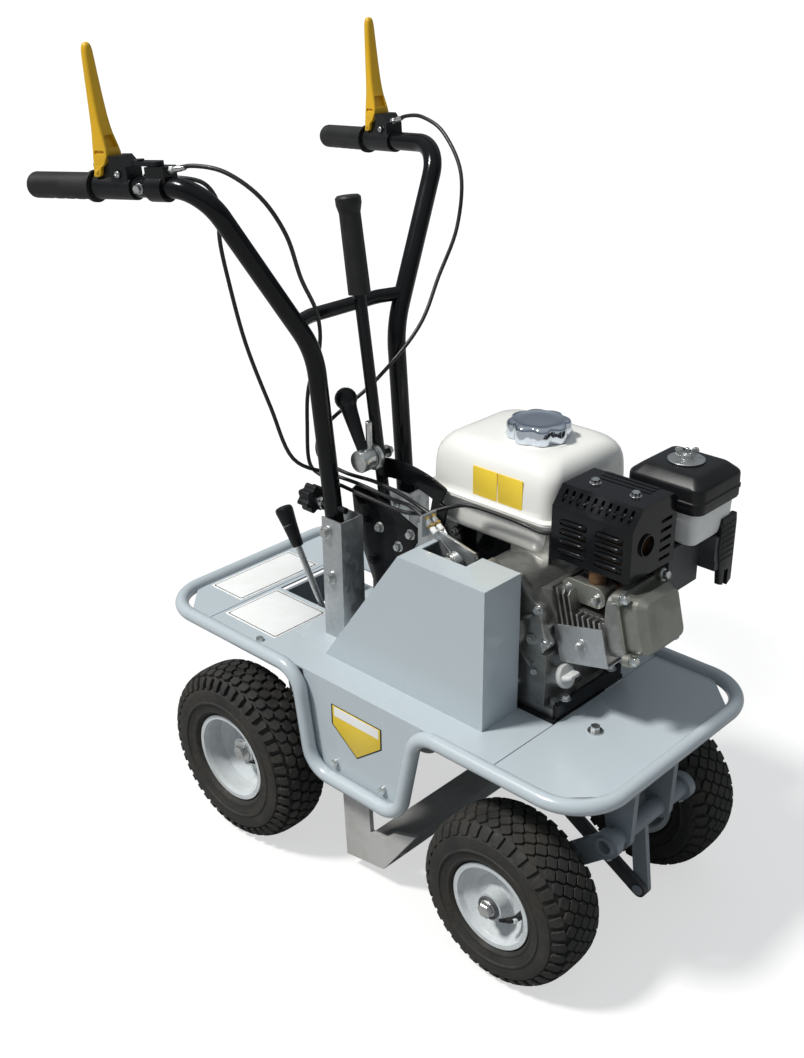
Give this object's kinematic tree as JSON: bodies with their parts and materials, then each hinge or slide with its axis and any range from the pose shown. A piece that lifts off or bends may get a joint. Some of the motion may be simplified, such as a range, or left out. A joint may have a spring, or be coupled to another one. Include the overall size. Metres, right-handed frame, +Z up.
{
  "type": "sod cutter",
  "caption": "Walk-behind petrol sod cutter: grey deck on pneumatic tyres with a tubular bumper rail, rocking U blade, belt drive and a splayed handlebar with depth and clutch levers.",
  "frame": {"origin": "centre of the bounding box, on the ground", "axes": "+X forwards, +Y to the operator's left, +Z up"},
  "size_m": [0.9651, 0.6104, 1.2118],
  "materials": {
    "grey_paint": "gloss bluish grey enamel",
    "black_paint": "gloss black enamel",
    "rubber_black": "matte black rubber",
    "yellow_plastic": "satin moulded yellow",
    "black_plastic": "satin moulded black",
    "grey_plastic": "satin moulded light grey",
    "white_plastic": "smooth moulded white",
    "red_plastic": "smooth moulded red",
    "galvanised": "galvanised sheet",
    "zinc": "bright zinc plating",
    "chrome": "polished chrome",
    "tank_white": "gloss off-white enamel",
    "aluminium": "die cast",
    "valve_aluminium": "die cast, slightly dull",
    "dark_cast": "dark casting",
    "tyre": "dusty rubber",
    "rim_paint": "pale grey enamel",
    "steel": "bare steel",
    "rusty": "heat-browned steel",
    "belt_rubber": "matte belt rubber"
  },
  "bodies": {
    "chassis": {"deck_plate": "grey_paint", "front_panel": "grey_paint", "rear_panel": "grey_paint", "bumper_rail": "grey_paint", "chassis_frame": "grey_paint", "belt_cover": "grey_paint", "handle_brackets": "galvanised", "handlebar": "black_paint", "hand_grips": "rubber_black", "lever_brackets": "black_plastic", "throttle_housing": "black_plastic", "depth_mount": "black_paint", "gearbox": "dark_cast", "axle_bearings": "dark_cast", "engine_base": "black_paint", "crankcase": "aluminium", "cylinder_head": "aluminium", "valve_cover": "valve_aluminium", "cooling_shroud": "galvanised", "recoil_housing": "black_plastic", "fuel_tank": "tank_white", "muffler": "rusty", "muffler_guard": "black_paint", "air_cleaner_base": "white_plastic", "air_cleaner_cover": "black_plastic", "carburettor": "dark_cast", "control_cables": "rubber_black", "cable_anchor": "zinc", "drive_belts": "belt_rubber", "idler_springs": "zinc", "fasteners": "zinc"},
    "front_carrier": {"front_carrier": "grey_paint"},
    "front_wheel_right": {"front_tyre_right": "tyre", "front_rim_right": "rim_paint"},
    "front_wheel_left": {"front_tyre_left": "tyre", "front_rim_left": "rim_paint"},
    "rear_axle": {"rear_axle": "zinc", "rear_rims": "rim_paint", "rear_tyres": "tyre"},
    "depth_lever": {"depth_lever": "black_paint", "depth_grip": "rubber_black"},
    "depth_link": {"depth_link": "steel"},
    "clamp_lever": {"clamp_lever": "black_plastic"},
    "gear_lever": {"gear_lever": "chrome"},
    "clutch_lever_right": {"clutch_lever_right": "yellow_plastic"},
    "clutch_lever_left": {"clutch_lever_left": "yellow_plastic"},
    "drive_idler": {"drive_idler": "zinc"},
    "blade_idler": {"blade_idler": "zinc"},
    "throttle_lever": {"throttle_lever": "black_plastic"},
    "crank_pulley": {"crank_pulley": "steel"},
    "gearbox_pulley": {"gearbox_pulley": "steel"},
    "eccentric_pulley": {"eccentric_pulley": "steel"},
    "blade": {"blade": "steel"},
    "fuel_cap": {"fuel_cap": "chrome"},
    "oil_cap": {"oil_cap": "grey_plastic"},
    "wing_nut": {"wing_nut": "zinc"},
    "star_knob": {"star_knob": "black_plastic"},
    "recoil_handle": {"recoil_handle": "black_plastic"},
    "choke_lever": {"choke_lever": "black_plastic"},
    "engine_switch": {"engine_switch": "red_plastic"}
  },
  "joints": [
    {"name": "depth_lever_swing", "type": "hinge", "parent": "chassis", "child": "depth_lever", "pos_m": [-0.03354, -0.016, 0.4], "axis": [0, 1, 0], "range_deg": [0, 26]},
    {"name": "front_carrier_swing", "type": "hinge", "parent": "chassis", "child": "front_carrier", "pos_m": [0.43046, 0, 0.218], "axis": [0, 1, 0], "range_deg": [0, 26]},
    {"name": "depth_link_pin", "type": "hinge", "parent": "depth_lever", "child": "depth_link", "pos_m": [-0.01955, -0.016, 0.28988], "axis": [0, 1, 0], "range_deg": [-26, 0]},
    {"name": "clamp_lever_turn", "type": "hinge", "parent": "depth_lever", "child": "clamp_lever", "pos_m": [-0.06583, -0.016, 0.62974], "axis": [0, 1, 0], "range_deg": [0, 80]},
    {"name": "front_wheel_right_spin", "type": "hinge", "parent": "front_carrier", "child": "front_wheel_right", "pos_m": [0.32946, -0.1725, 0.13], "axis": [0, 1, 0], "continuous": true},
    {"name": "front_wheel_left_spin", "type": "hinge", "parent": "front_carrier", "child": "front_wheel_left", "pos_m": [0.32946, 0.1725, 0.13], "axis": [0, 1, 0], "continuous": true},
    {"name": "rear_axle_spin", "type": "hinge", "parent": "chassis", "child": "rear_axle", "pos_m": [-0.18554, 0, 0.145], "axis": [0, 1, 0], "continuous": true},
    {"name": "blade_rock", "type": "hinge", "parent": "chassis", "child": "blade", "pos_m": [0.02746, 0, 0.258], "axis": [0, 1, 0], "range_deg": [-4, 4]},
    {"name": "eccentric_spin", "type": "hinge", "parent": "chassis", "child": "eccentric_pulley", "pos_m": [0.09446, 0, 0.262], "axis": [0, 1, 0], "continuous": true},
    {"name": "crank_spin", "type": "hinge", "parent": "chassis", "child": "crank_pulley", "pos_m": [0.19446, 0, 0.455], "axis": [0, 1, 0], "continuous": true},
    {"name": "gearbox_pulley_spin", "type": "hinge", "parent": "chassis", "child": "gearbox_pulley", "pos_m": [-0.11054, 0, 0.235], "axis": [0, 1, 0], "continuous": true},
    {"name": "clutch_lever_left_squeeze", "type": "hinge", "parent": "chassis", "child": "clutch_lever_left", "pos_m": [-0.33788, 0.26201, 1.04797], "axis": [0.1822, 0.9833, 0], "range_deg": [-75, 0], "stiffness_Nm_per_rad": 0.8, "springref_deg": 28.65},
    {"name": "clutch_lever_right_squeeze", "type": "hinge", "parent": "chassis", "child": "clutch_lever_right", "pos_m": [-0.33788, -0.26201, 1.04797], "axis": [-0.1822, 0.9833, 0], "range_deg": [-75, 0], "stiffness_Nm_per_rad": 0.8, "springref_deg": 28.65},
    {"name": "drive_idler_swing", "type": "hinge", "parent": "chassis", "child": "drive_idler", "pos_m": [0.13446, 0, 0.538], "axis": [0, 1, 0], "range_deg": [-3, 0]},
    {"name": "blade_idler_swing", "type": "hinge", "parent": "chassis", "child": "blade_idler", "pos_m": [0.13446, 0, 0.538], "axis": [0, 1, 0], "range_deg": [-2.5, 0]},
    {"name": "throttle_lever_turn", "type": "hinge", "parent": "chassis", "child": "throttle_lever", "pos_m": [-0.24014, -0.2439, 1.03355], "axis": [-0.0754, -0.014, 0.9971], "range_deg": [0, 60]},
    {"name": "gear_lever_swing", "type": "hinge", "parent": "chassis", "child": "gear_lever", "pos_m": [-0.15454, -0.033, 0.272], "axis": [0, 1, 0], "range_deg": [-12, 12]},
    {"name": "fuel_cap_turn", "type": "hinge", "parent": "chassis", "child": "fuel_cap", "pos_m": [0.14346, 0.098, 0.679], "axis": [0, 0, 1], "range_deg": [0, 90]},
    {"name": "oil_cap_turn", "type": "hinge", "parent": "chassis", "child": "oil_cap", "pos_m": [0.28346, -0.034, 0.398], "axis": [0.9397, 0, 0.342], "continuous": true},
    {"name": "wing_nut_turn", "type": "hinge", "parent": "chassis", "child": "wing_nut", "pos_m": [0.34496, 0.169, 0.66], "axis": [0, 0, 1], "continuous": true},
    {"name": "star_knob_turn", "type": "hinge", "parent": "chassis", "child": "star_knob", "pos_m": [-0.10391, -0.07845, 0.554], "axis": [1, 0, 0], "continuous": true},
    {"name": "recoil_handle_pull", "type": "slide", "parent": "chassis", "child": "recoil_handle", "axis": [-1, 0, 0], "range_m": [0, 0.09], "stiffness_N_per_m": 60, "springref_m": -0.05},
    {"name": "choke_lever_turn", "type": "hinge", "parent": "chassis", "child": "choke_lever", "pos_m": [0.33346, 0.176, 0.54], "axis": [0, 1, 0], "range_deg": [0, 55]},
    {"name": "engine_switch_turn", "type": "hinge", "parent": "chassis", "child": "engine_switch", "pos_m": [0.29746, 0.136, 0.415], "axis": [0, 1, 0], "range_deg": [0, 45]}
  ],
  "couplings": [
    {"joint": "front_carrier_swing", "follows": "depth_lever_swing", "ratio": 1},
    {"joint": "depth_link_pin", "follows": "depth_lever_swing", "ratio": -1},
    {"joint": "drive_idler_swing", "follows": "clutch_lever_left_squeeze", "ratio": 0.039999},
    {"joint": "blade_idler_swing", "follows": "clutch_lever_right_squeeze", "ratio": 0.033332}
  ]
}
